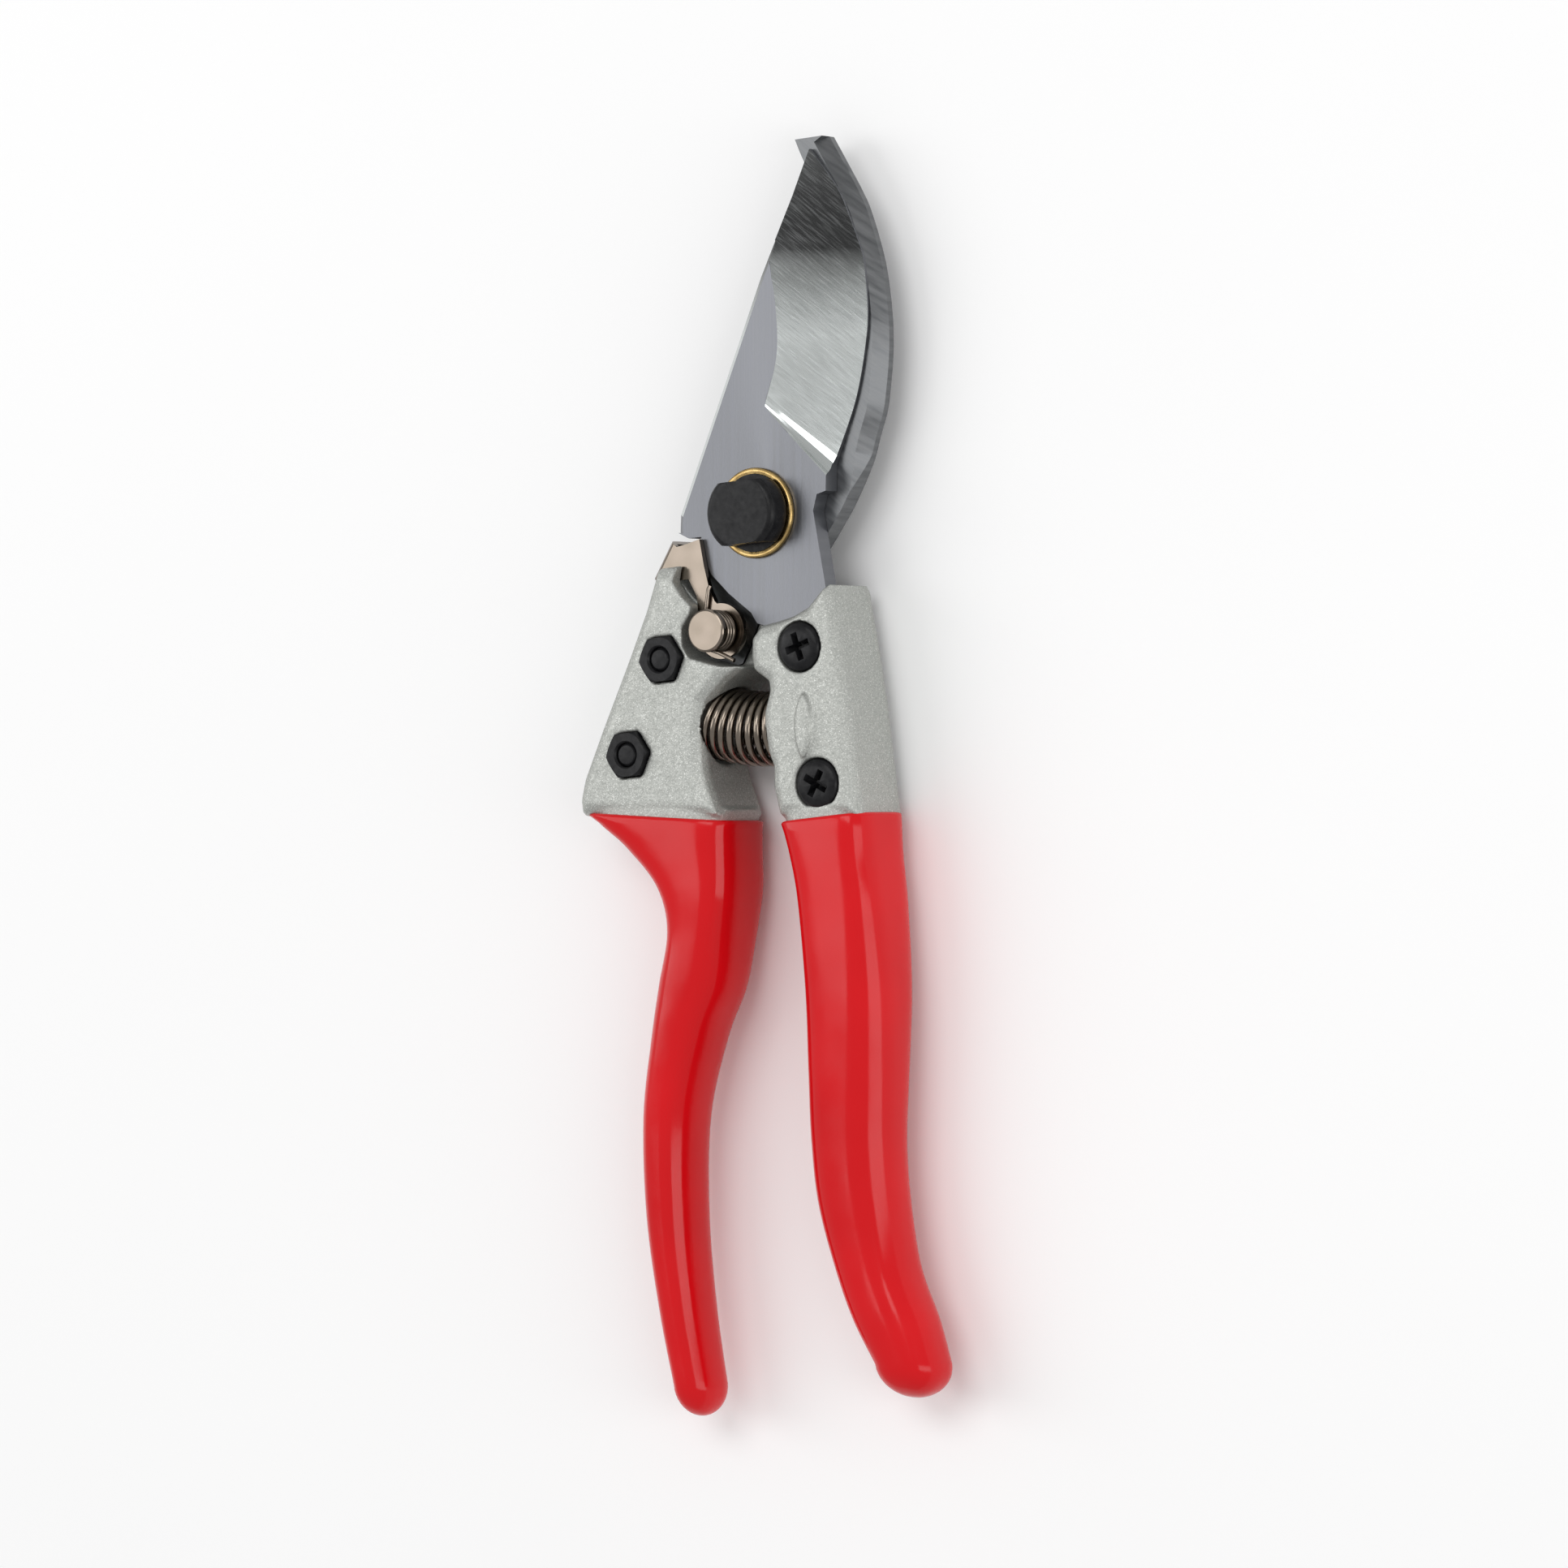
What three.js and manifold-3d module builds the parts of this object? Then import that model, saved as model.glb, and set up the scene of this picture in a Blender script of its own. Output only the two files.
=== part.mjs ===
// A bypass pruner lying flat: the cutting blade in front, the hooked counter blade behind it, two cast
// handles in dipped grips, a pivot bolt, a coil spring between the handles and a thumb catch.
// Millimetres. +Z is the front face's normal, +Y points along the tool to the blade tips, and the origin
// is on the pivot axis, at the surface that the pivot bolt's rear end rests on.
import * as THREE from 'three';
import { mergeVertices } from 'three/addons/utils/BufferGeometryUtils.js';
import Module from 'manifold-3d';

const wasm = await Module();
wasm.setup();

// ---- Driving dimensions -------------------------------------------------------------------------
const CONTACT = 9;                    // height of the plane where the two blades slide on each other
const BLADE = 3.3;                    // thickness of the cutting blade
const HOOK = 3.5;                     // thickness of the counter blade
const GAP = 0.05;                     // running gap between sliding faces
const CAST = 7.3;                     // half thickness of a handle casting
const SKIN = 1.4;                     // wall of a dipped grip
const LIP_Y = -48.6;                  // where the grips begin
const HEAD_END = LIP_Y + 0.05;        // where the full section of a casting ends, just clear of its grip

const SHANK_R = 4.0;                  // pivot bolt
const BOLT_HEAD_R = 6.5;
const BOLT_FLAT = 10;
const BOLT_FLAT_TURN = 4.5 * Math.PI / 180;
const BOLT_HEAD_TOP = 8.5;
const RING_R = 7.25;                  // brass ring under the bolt's head
const RING_TOP = 4.2;

const SCREW_R = 2.0;                  // M4 handle screws
const SCREW_HEAD_R = 3.9;
const NUT_FLATS = 7.0;
const NUT_HEIGHT = 3.2;
const NUT_STAND = 1.0;                // how far a nut stands out of its casting
const LEFT_SCREWS = [[-15.7, -23.3], [-22.2, -38.6]];
const RIGHT_SCREWS = [[10.65, -21.5], [14.1, -43.2]];
const CROSS_TURNS = [0.35, 1.1];      // how far each right-hand screw's cross is turned, in radians

const CATCH_PIN = [-6.2, -18.8];      // axis of the thumb catch
const CATCH_PIN_R = 2.45;
const CATCH_HEAD_R = 3.45;
const CATCH_EYE_R = 4.45;
const CATCH_PLATE = 1.0;              // sheet thickness of the thumb catch
const CATCH_WIRE_R = 0.36;

const SPRING_ARC = 34.5;              // the coil spring's centre line is an arc about the pivot
const SPRING_R = 5.5;                 // from its centre line to the wire's centre
const SPRING_WIRE_R = 0.6;
const SPRING_TURNS = 9;
const SPRING_FROM = -15.5 * Math.PI / 180;
const SPRING_TO = 10.5 * Math.PI / 180;
const POCKET_R = 6.4;
const BLADE_SWEEP_R = 18.1;           // room for the cutting blade to turn inside the left handle

const FINISH = {
  castAluminium: { color: 0xb4b8b4, roughness: 0.55, metalness: 0.9 },
  bladeSteel: { color: 0xaeb2b8, roughness: 0.3, metalness: 1.0 },
  redVinyl: { color: 0xd3140f, roughness: 0.18, metalness: 0.0 },
  blackSteel: { color: 0x17181a, roughness: 0.45, metalness: 0.7 },
  brass: { color: 0xb08d4a, roughness: 0.35, metalness: 1.0 },
  nickel: { color: 0xb7a896, roughness: 0.25, metalness: 1.0 },
};

// ---- Outlines, counter-clockwise, seen from the front --------------------------------------------
const CUTTING_EDGE = [[13.3, 7.5], [14.5, 10.7], [17.3, 18.3], [18.9, 26], [19.4, 31.7], [18.7, 39.3],
  [17.8, 42.4], [15.9, 46.9], [13.6, 51.5], [8.5, 58]];
const SPINE = [[5.9, 50.5], [3.1, 43.5], [0.3, 37.6], [-15.2, 0]];
const CUTTING_BLADE = [[18.8, -47], [17.2, -34], [14, -16], [12.1, -6.4], [10.8, 0.2], [11.5, 2.8],
  [13.2, 3.3], ...CUTTING_EDGE, ...SPINE, [-15.3, -2.9], [-13.3, -3.8], [-10.8, -3.6], [-10.4, -5.6],
  [-9.7, -7.9], [-8.8, -9.7], [-5.4, -12.8], [-3.2, -14.4], [-1.1, -15.9], [0.05, -17.6], [2.9, -18.4],
  [5.5, -24], [9, -30], [9.5, -47]];
// From the spine or the ground line to the cutting edge: [x, y, height above the blade's back] each.
const EDGE_LAND = 0.5;
const BEVEL = [
  [[8.8, 60, 0.8], [9.6, 60, EDGE_LAND]],
  [[6, 51, 1.7], [14.4, 51, EDGE_LAND]],
  [[3.2, 44, 2.2], [17.6, 44, EDGE_LAND]],
  [[2.8, 37.6, BLADE], [19.3, 37.8, EDGE_LAND]],
  [[3.9, 29, BLADE], [19.6, 29.5, EDGE_LAND]],
  [[3.5, 23.5, BLADE], [18.4, 22, EDGE_LAND]],
  [[1.7, 18, BLADE - 0.05], [15.2, 8, EDGE_LAND + 0.3]],
  [[1.8, 16.4, BLADE + 0.1], [14.7, 4.3, BLADE + 0.1]],
];

const HOOK_OUTER = [[16.2, 4.3], [18.1, 8.2], [19.3, 12.1], [20.6, 16], [21.2, 19.9], [21.7, 25.7],
  [21.5, 31.6], [20.3, 39.4], [17.8, 47.2], [15.9, 51.1], [12.7, 56.3], [10.3, 60.1]];
const HOOK_INNER = [[6.9, 56], [11, 49], [14, 42], [15.6, 35], [15.6, 27], [13.4, 19], [9.5, 13]];
const HOOK_BLADE = [[-17.5, -44], [-15.5, -38], [-13, -30], [-11, -25.5], [-5, -24], [-3.2, -20.5],
  [-2, -17.5], [3, -12.5], [8, -8], [11.3, -3.5], [14, 0.4], ...HOOK_OUTER, [5.1, 59.7],
  ...HOOK_INNER, [4, 11], [-4, 11], [-12, 4], [-12.5, -3], [-13.5, -9.5], [-16.5, -14], [-20, -24],
  [-26.5, -40], [-25.5, -44]];
const HOOK_GROUND_WIDTH = 1.8;
const HOOK_GROUND_DEPTH = 2.2;

const LEFT_HEAD = [[-12.6, -8.2], [-17.3, -8.6], [-19.6, -15.2], [-23, -23], [-28.4, -34.7],
  [-31.8, -42.5], [-32.6, -46], [-32.2, HEAD_END], [-5, HEAD_END], [-5.9, -45.9], [-7.2, -42.9],
  [-8, -39.9], [-8.3, -35], [-7.7, -30.5], [-4.2, -26.8], [-1.2, -25], [-0.3, -21],
  [-0.5, -18.3], [-3, -16.1], [-8.5, -14], [-11.6, -11.4]];
const LEFT_RECESS = [[-13.9, -10.7], [-12, -13.3], [-10.2, -14.8], [-10.5, -16.2], [-12, -18.2],
  [-11.9, -21.3], [-10.6, -23.1], [-4.4, -24.5], [4, -24.5], [4, -4], [-12.4, -4]];
const RECESS_FLOOR = -0.02;           // the recess goes down to the counter blade's front face
const CATCH_SLOT = [[-24, -17], [-12.4, -17], [-12.4, -18.6], [-4, -18.6], [-4, -5], [-24, -5]];
const CATCH_SLOT_GAP = 0.12;

const RIGHT_HEAD = [[15.3, -11.5], [11.6, -15.1], [8.5, -16.6], [5.5, -17.4], [2.6, -18],
  [0.9, -20], [0.8, -23], [1.3, -25.3], [4.1, -27.1], [4.3, -28.4], [3.3, -31.8], [3.3, -34.1],
  [4.1, -38.4], [5.1, -40.7], [5.1, -43.7], [6.3, HEAD_END], [21.8, HEAD_END], [21.4, -46.4],
  [19.2, -30.8], [17.8, -23], [16.2, -15.2]];

const CATCH_FOLD = [[-19.8, -10], [-16.4, -4.2]];
const CATCH_FOLD_INSIDE = [[-15.5, -4.7], [-18.9, -10.5]];
const CATCH_CHEEK = [CATCH_FOLD[0], [-18.9, -10.9], [-12.5, -10.4], [-10.9, -13.2], [-10.4, -17],
  [-6.4, -18], [-6.4, -14.9], [-7.4, -14], [-8.5, -11.9], [-9, -10.1], [-9.5, -8.3], [-10, -5.9],
  [-10.4, -4], [-12.7, -4.7], [-14.8, -5.2], CATCH_FOLD[1]];

// ---- Grip sections: [y, left x, right x, half thickness, squareness] -----------------------------
const LEFT_GRIP = [[-46, -35, -3.6, 7.9, 4.5], [-50, -30, -4.2, 7.9, 4.5], [-54, -24.2, -4.1, 7.8, 4],
  [-60, -18.6, -4, 7.6, 3.6], [-67, -17, -4.8, 7.3, 3], [-76, -19.2, -6.3, 7, 2.6],
  [-84, -20.7, -9.7, 6.7, 2.4], [-97, -22.5, -13, 6.2, 2.3], [-113, -22, -13.2, 5.8, 2.3],
  [-128, -19.6, -11.6, 5.4, 2.3], [-140, -16.9, -9.4, 5, 2.3]];
const LEFT_END = [-12.7, -145.1];
const RIGHT_GRIP = [[-46, 5.1, 22.1, 7.9, 4.5], [-54, 7.2, 22.7, 7.8, 4], [-62, 8.6, 23.9, 7.6, 3.6],
  [-76, 9.5, 25.2, 7.3, 3], [-89, 9.7, 25.1, 6.9, 2.7], [-100, 10, 24.9, 6.6, 2.5],
  [-110, 11.3, 25.8, 6.4, 2.5], [-120, 14.4, 27.8, 6.1, 2.5], [-128, 17.7, 31.3, 6, 2.5],
  [-135, 21.9, 33.6, 5.6, 2.5]];
const RIGHT_END = [28.6, -140.3];
const GRIP_SECTIONS = 16;
const GRIP_SIDES = 14;
const END_ROUNDS = [0.45, 0.75, 0.95]; // how far each closing section is along the rounded end

// ---- Solids ---------------------------------------------------------------------------------------
function toSolid(geometry) {
  const bare = geometry.clone();
  bare.deleteAttribute('normal');
  bare.deleteAttribute('uv');
  const merged = mergeVertices(bare, 1e-5);
  return new wasm.Manifold(new wasm.Mesh({
    numProp: 3,
    vertProperties: new Float32Array(merged.attributes.position.array),
    triVerts: new Uint32Array(merged.index.array),
  }));
}

function toGeometry(solid) {
  const mesh = solid.getMesh();
  const geometry = new THREE.BufferGeometry();
  geometry.setAttribute('position', new THREE.BufferAttribute(new Float32Array(mesh.vertProperties), 3));
  geometry.setIndex(new THREE.BufferAttribute(new Uint32Array(mesh.triVerts), 1));
  const flat = geometry.toNonIndexed();
  flat.computeVertexNormals();
  return flat;
}

// A flat plate between two heights above the contact plane, its edges rounded over when asked.
function plate(outline, low, high, round = 0) {
  const shape = new THREE.Shape(outline.map(([x, y]) => new THREE.Vector2(x, y)));
  const geometry = new THREE.ExtrudeGeometry(shape, {
    depth: high - low - 2 * round,
    bevelEnabled: round > 0,
    bevelSize: round,
    bevelThickness: round,
    bevelOffset: -round,
    bevelSegments: 2,
  });
  geometry.translate(0, 0, CONTACT + low + round);
  return toSolid(geometry);
}

// A turned piece about a Z axis at [x, y]; its profile is [radius, height above the contact plane].
function turned([x, y], profile, sides) {
  const points = profile.map(([r, z]) => new THREE.Vector2(r, z));
  const geometry = new THREE.LatheGeometry(points, sides);
  geometry.rotateX(Math.PI / 2);
  geometry.translate(x, y, CONTACT);
  return toSolid(geometry);
}

function rod(centre, radius, low, high, sides = 24) {
  return turned(centre, [[0, low], [radius, low], [radius, high], [0, high]], sides);
}

function washer(centre, inner, outer, low, high, sides = 24) {
  const profile = [[inner, low], [outer, low], [outer, high], [inner, high], [inner, low]];
  return turned(centre, profile, sides);
}

function hexagon([x, y], flats, turn) {
  const corner = flats / Math.sqrt(3);
  return Array.from({ length: 6 }, (_, i) => {
    const angle = turn + i * Math.PI / 3;
    return [x + corner * Math.cos(angle), y + corner * Math.sin(angle)];
  });
}

// A closed skin over a row of rings that have the same number of points.
function loft(rings) {
  const count = rings[0].length;
  const positions = rings.flat().flatMap((p) => [p.x, p.y, p.z + CONTACT]);
  const index = [];
  for (let i = 0; i + 1 < rings.length; i += 1) {
    for (let j = 0; j < count; j += 1) {
      const a = i * count + j;
      const b = i * count + (j + 1) % count;
      index.push(a, b, a + count, b, b + count, a + count);
    }
  }
  const last = (rings.length - 1) * count;
  for (let j = 1; j + 1 < count; j += 1) {
    index.push(0, j + 1, j, last, last + j, last + j + 1);
  }
  const geometry = new THREE.BufferGeometry();
  geometry.setAttribute('position', new THREE.Float32BufferAttribute(positions, 3));
  geometry.setIndex(index);
  const solid = toSolid(geometry);
  return solid.volume() > 0 ? solid : toSolid(flipped(geometry));
}

function flipped(geometry) {
  const index = geometry.index.array;
  for (let i = 0; i < index.length; i += 3) {
    [index[i + 1], index[i + 2]] = [index[i + 2], index[i + 1]];
  }
  return geometry;
}

// Wire of a given radius along a list of points.
function wire(points, radius, sides = 6) {
  const rings = points.map((point, i) => {
    const ahead = points[Math.min(i + 1, points.length - 1)];
    const behind = points[Math.max(i - 1, 0)];
    const along = ahead.clone().sub(behind).normalize();
    const turn = new THREE.Quaternion().setFromUnitVectors(new THREE.Vector3(0, 0, 1), along);
    return Array.from({ length: sides }, (_, j) => {
      const angle = 2 * Math.PI * j / sides;
      const offset = new THREE.Vector3(radius * Math.cos(angle), radius * Math.sin(angle), 0);
      return offset.applyQuaternion(turn).add(point);
    });
  });
  return loft(rings);
}

// One ring of a grip, shrunk inwards by inset: a superellipse in the plane at y.
function gripRing(y, left, right, thick, square, inset) {
  const centre = (left + right) / 2;
  const half = (right - left) / 2 - inset;
  return Array.from({ length: GRIP_SIDES }, (_, j) => {
    const angle = 2 * Math.PI * (j + 0.5) / GRIP_SIDES;
    const c = Math.cos(angle);
    const s = Math.sin(angle);
    const x = Math.sign(c) * Math.abs(c) ** (2 / square) * half;
    const z = Math.sign(s) * Math.abs(s) ** (2 / square) * (thick - inset);
    return new THREE.Vector3(centre + x, y, z);
  });
}

function gripLoft(stations, end, inset) {
  const track = (k) => new THREE.SplineCurve(stations.map((row) => new THREE.Vector2(row[0], row[k])));
  const tracks = [1, 2, 3, 4].map(track);
  const rings = [];
  for (let i = 0; i <= GRIP_SECTIONS; i += 1) {
    const at = tracks.map((curve) => curve.getPoint(i / GRIP_SECTIONS));
    rings.push(gripRing(at[0].x, ...at.map((p) => p.y), inset));
  }
  const [lastY, left, right, thick, square] = stations.at(-1);
  const length = Math.abs(end[1] - lastY) - inset;
  for (const along of END_ROUNDS) {
    const shrink = Math.sqrt(1 - along * along);
    const centre = THREE.MathUtils.lerp((left + right) / 2, end[0], along);
    const half = ((right - left) / 2 - inset) * shrink;
    const y = lastY - length * along;
    rings.push(gripRing(y, centre - half, centre + half, (thick - inset) * shrink, square, 0));
  }
  return loft(rings);
}

function below(solid, y) {
  const keep = new THREE.BoxGeometry(200, 200, 100);
  keep.translate(0, y - 100, CONTACT);
  return toSolid(keep).intersect(solid);
}

// ---- Blades ---------------------------------------------------------------------------------------
function cuttingBlade() {
  const reach = 0.35;                 // how far the grinding runs past the cutting edge
  const above = BLADE + 3;
  const rings = BEVEL.map(([[xa, ya, za], [xb, yb, zb]]) => [
    new THREE.Vector3(xa, ya, za),
    new THREE.Vector3(xb + (xb - xa) * reach, yb + (yb - ya) * reach, zb + (zb - za) * reach),
    new THREE.Vector3(xb + (xb - xa) * reach, yb + (yb - ya) * reach, above),
    new THREE.Vector3(xa, ya, above),
  ]);
  let blade = plate(CUTTING_BLADE, GAP, BLADE).subtract(loft(rings));
  blade = blade.subtract(rod([0, 0], SHANK_R + GAP, -1, BLADE + 1, 32));
  for (const centre of RIGHT_SCREWS) {
    blade = blade.subtract(rod(centre, SCREW_R + 0.15, -1, BLADE + 1, 16));
  }
  return blade;
}

function hookBlade() {
  const slope = 1.5;                  // the cutter runs past both ends of the ground band
  const rings = HOOK_OUTER.map(([x, y], i) => {
    const [xn, yn] = HOOK_OUTER[Math.min(i + 1, HOOK_OUTER.length - 1)];
    const [xp, yp] = HOOK_OUTER[Math.max(i - 1, 0)];
    const run = Math.hypot(xn - xp, yn - yp);
    const out = [(yn - yp) / run, (xp - xn) / run];
    const start = i === 0 ? HOOK_GROUND_WIDTH : 0;
    const at = (offset, z) => new THREE.Vector3(x + out[0] * offset, y + out[1] * offset, z);
    const rise = HOOK_GROUND_DEPTH / HOOK_GROUND_WIDTH * slope;
    return [
      at(start - HOOK_GROUND_WIDTH - slope, rise),
      at(start + slope, -HOOK_GROUND_DEPTH - rise),
      at(start + slope, rise),
    ];
  });
  let blade = plate(HOOK_BLADE, -HOOK, 0).subtract(loft(rings));
  blade = blade.subtract(rod([0, 0], SHANK_R + GAP, -HOOK - 1, 1, 32));
  blade = blade.subtract(rod(CATCH_PIN, CATCH_PIN_R + GAP, -HOOK - 1, 1));
  for (const centre of LEFT_SCREWS) {
    blade = blade.subtract(rod(centre, SCREW_R + 0.15, -HOOK - 1, 1, 16));
  }
  return blade;
}

// ---- Handles --------------------------------------------------------------------------------------
const FILLET = 2;

function arcPoint(angle, radius = SPRING_ARC) {
  return new THREE.Vector3(radius * Math.sin(angle), -radius * Math.cos(angle), 0);
}

// A blind round pocket for one end of the spring, opening along the spring's arc.
function springPocket(angle, toward) {
  const depth = 9;
  const geometry = new THREE.CylinderGeometry(POCKET_R, POCKET_R, depth, 28);
  geometry.translate(0, depth / 2, 0);
  geometry.rotateZ(angle - toward * Math.PI / 2);
  const floor = arcPoint(angle);
  geometry.translate(floor.x, floor.y, CONTACT);
  return toSolid(geometry);
}

// The room for a screw through a casting: its shank, a round seat for the head and a six-sided one.
function screwRoom(centre, headSide) {
  const seat = (low, high) => (headSide > 0 ? [low, high] : [-high, -low]);
  const [headLow, headHigh] = seat(CAST - 2.1, CAST + 3);
  const [nutLow, nutHigh] = seat(-CAST - 3, -CAST - NUT_STAND + NUT_HEIGHT);
  return [
    rod(centre, SCREW_R + 0.15, -CAST - 1, CAST + 1, 16),
    rod(centre, SCREW_HEAD_R + 0.25, headLow, headHigh, 20),
    plate(hexagon(centre, NUT_FLATS + 0.3, nutTurn(headSide)), nutLow, nutHigh),
  ];
}

function nutTurn(headSide) {
  return headSide > 0 ? 0.2 : 0.1;
}

function cutAll(solid, cutters) {
  return cutters.reduce((rest, cutter) => rest.subtract(cutter), solid);
}

function grownPlate(outline, low, high, grow) {
  const shape = new THREE.Shape(outline.map(([x, y]) => new THREE.Vector2(x, y)));
  const step = 0.02;
  const geometry = new THREE.ExtrudeGeometry(shape, {
    depth: high - low - 2 * step,
    bevelEnabled: true,
    bevelSize: 0.01,
    bevelThickness: step,
    bevelOffset: grow,
    bevelSegments: 1,
  });
  geometry.translate(0, 0, CONTACT + low + step);
  return toSolid(geometry);
}

function leftHandle() {
  const head = plate(LEFT_HEAD, -CAST, CAST, FILLET);
  const core = below(gripLoft(LEFT_GRIP, LEFT_END, SKIN), LIP_Y + 1.5);
  const cheekTop = BLADE + 0.15 + CATCH_PLATE;
  return cutAll(head.add(core), [
    grownPlate(HOOK_BLADE, -HOOK - GAP, 0, 0.08),
    rod([0, 0], BLADE_SWEEP_R, -0.02, BLADE + 0.1, 64),
    plate(LEFT_RECESS, RECESS_FLOOR, CAST + 1),
    plate(CATCH_SLOT, BLADE + 0.05, cheekTop + CATCH_SLOT_GAP),
    plate(CATCH_SLOT, -HOOK - 0.05 - CATCH_PLATE - CATCH_SLOT_GAP, -HOOK),
    rod(CATCH_PIN, CATCH_EYE_R + 0.4, -HOOK - 0.05 - CATCH_PLATE - CATCH_SLOT_GAP, -HOOK, 28),
    rod(CATCH_PIN, CATCH_PIN_R + GAP, -CAST - 1, CAST + 1),
    springPocket(SPRING_FROM - 0.02, 1),
    ...LEFT_SCREWS.flatMap((centre) => screwRoom(centre, -1)),
  ]);
}

function rightHandle() {
  const head = plate(RIGHT_HEAD, -CAST, CAST, FILLET);
  const core = below(gripLoft(RIGHT_GRIP, RIGHT_END, SKIN), LIP_Y + 1.5);
  return cutAll(head.add(core), [
    grownPlate(CUTTING_BLADE, 0, BLADE + GAP, 0.08),
    springPocket(SPRING_TO + 0.02, -1),
    ...RIGHT_SCREWS.flatMap((centre) => screwRoom(centre, 1)),
  ]);
}

function grip(stations, end) {
  const outer = gripLoft(stations, end, 0);
  return below(outer.subtract(gripLoft(stations, end, SKIN - GAP)), LIP_Y);
}

// ---- Pivot ----------------------------------------------------------------------------------------
const BACK_WASHER = 0.9;
const BACK_NUT_LOW = -CONTACT + 0.8;

function pivotBolt() {
  const under = RING_TOP + GAP;
  const profile = [[0, -CONTACT], [SHANK_R - 0.5, -CONTACT], [SHANK_R, -CONTACT + 0.5], [SHANK_R, under],
    [BOLT_HEAD_R, under], [BOLT_HEAD_R, BOLT_HEAD_TOP - 0.8], [BOLT_HEAD_R - 0.8, BOLT_HEAD_TOP],
    [0, BOLT_HEAD_TOP]];
  const cutters = [1, -1].map((side) => {
    const box = new THREE.BoxGeometry(20, 10, 10);
    box.translate(0, side * (BOLT_FLAT / 2 + 5), CONTACT + under + 5);
    box.rotateZ(BOLT_FLAT_TURN);
    return toSolid(box);
  });
  return cutAll(turned([0, 0], profile, 32), cutters);
}

function pivotRing() {
  const base = BLADE + GAP;
  const bore = SHANK_R + 0.15;
  return turned([0, 0], [[bore, base], [RING_R, base], [RING_R, RING_TOP - 0.1], [RING_R - 0.3, RING_TOP],
    [bore, RING_TOP], [bore, base]], 32);
}

function pivotNut() {
  const body = plate(hexagon([0, 0], 13, 0.3), BACK_NUT_LOW, -HOOK - GAP - BACK_WASHER - GAP);
  return body.subtract(rod([0, 0], SHANK_R + GAP, -CONTACT - 1, 0, 32));
}

// ---- Handle screws and nuts -------------------------------------------------------------------------
const HEAD_UNDER = CAST - 2;          // where a screw head's underside lies
const HEAD_TOP = CAST + 0.35;
const SCREW_END = -CAST - NUT_STAND + 0.25;

function turnedOver(solid, centre) {
  return solid.translate([-centre[0], 0, -CONTACT]).rotate([0, 180, 0])
    .translate([centre[0], 0, CONTACT]);
}

function screw(centre, headSide, crossTurn) {
  const profile = [[0, SCREW_END], [SCREW_R - 0.3, SCREW_END], [SCREW_R, SCREW_END + 0.3],
    [SCREW_R, HEAD_UNDER], [SCREW_HEAD_R, HEAD_UNDER], [SCREW_HEAD_R, HEAD_TOP - 0.7],
    [SCREW_HEAD_R - 0.9, HEAD_TOP], [0, HEAD_TOP]];
  const arms = [0, 1].map((quarter) => {
    const arm = new THREE.BoxGeometry(4.4, 0.9, 2);
    arm.rotateZ(crossTurn + quarter * Math.PI / 2);
    arm.translate(centre[0], centre[1], CONTACT + HEAD_TOP - 0.1);
    return toSolid(arm);
  });
  const body = cutAll(turned(centre, profile, 20), arms);
  return headSide > 0 ? body : turnedOver(body, centre);
}

function nut(centre, headSide) {
  const low = -CAST - NUT_STAND;
  const high = low + NUT_HEIGHT - GAP;
  const [from, to] = headSide > 0 ? [low, high] : [-high, -low];
  const bore = rod(centre, SCREW_R + GAP, -CAST - 3, CAST + 3, 20);
  return plate(hexagon(centre, NUT_FLATS, nutTurn(headSide)), from, to).subtract(bore);
}

// ---- Thumb catch ------------------------------------------------------------------------------------
const CHEEK_FRONT = BLADE + 0.15;
const CHEEK_BACK = -HOOK - 0.05;

function thumbCatch() {
  const eye = (low, high) => rod(CATCH_PIN, CATCH_EYE_R, low, high, 28);
  const front = plate(CATCH_CHEEK, CHEEK_FRONT, CHEEK_FRONT + CATCH_PLATE)
    .add(eye(CHEEK_FRONT, CHEEK_FRONT + CATCH_PLATE));
  const back = plate(CATCH_CHEEK, CHEEK_BACK - CATCH_PLATE, CHEEK_BACK)
    .add(eye(CHEEK_BACK - CATCH_PLATE, CHEEK_BACK));
  const fold = plate([...CATCH_FOLD, ...CATCH_FOLD_INSIDE], CHEEK_BACK - CATCH_PLATE,
    CHEEK_FRONT + CATCH_PLATE);
  return front.add(back).add(fold).subtract(rod(CATCH_PIN, CATCH_PIN_R + 0.06, -CAST, CAST, 28));
}

function catchPin() {
  const top = 8.9;
  const under = 7.8;
  const foot = -CAST - 0.6;
  return turned(CATCH_PIN, [[0, foot], [CATCH_PIN_R - 0.4, foot], [CATCH_PIN_R, foot + 0.4],
    [CATCH_PIN_R, under], [CATCH_HEAD_R, under], [CATCH_HEAD_R, top - 0.3], [CATCH_HEAD_R - 0.3, top],
    [0, top]], 28);
}

function catchSpring() {
  const radius = CATCH_PIN_R + CATCH_WIRE_R + 0.2;
  const low = CHEEK_FRONT + CATCH_PLATE + CATCH_WIRE_R + 0.05;
  const pitch = 0.76;
  const turns = 3.25;
  const [cx, cy] = CATCH_PIN;
  const points = [new THREE.Vector3(-8.3, -12.1, low), new THREE.Vector3(-8.9, -16, low)];
  const steps = Math.round(turns * 12);
  for (let i = 0; i <= steps; i += 1) {
    const angle = Math.PI + 2 * Math.PI * turns * i / steps;
    const z = low + pitch * turns * i / steps;
    points.push(new THREE.Vector3(cx + radius * Math.cos(angle), cy + radius * Math.sin(angle), z));
  }
  points.push(new THREE.Vector3(-1.6, -23.6, points.at(-1).z));
  return wire(points, CATCH_WIRE_R, 5);
}

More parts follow.
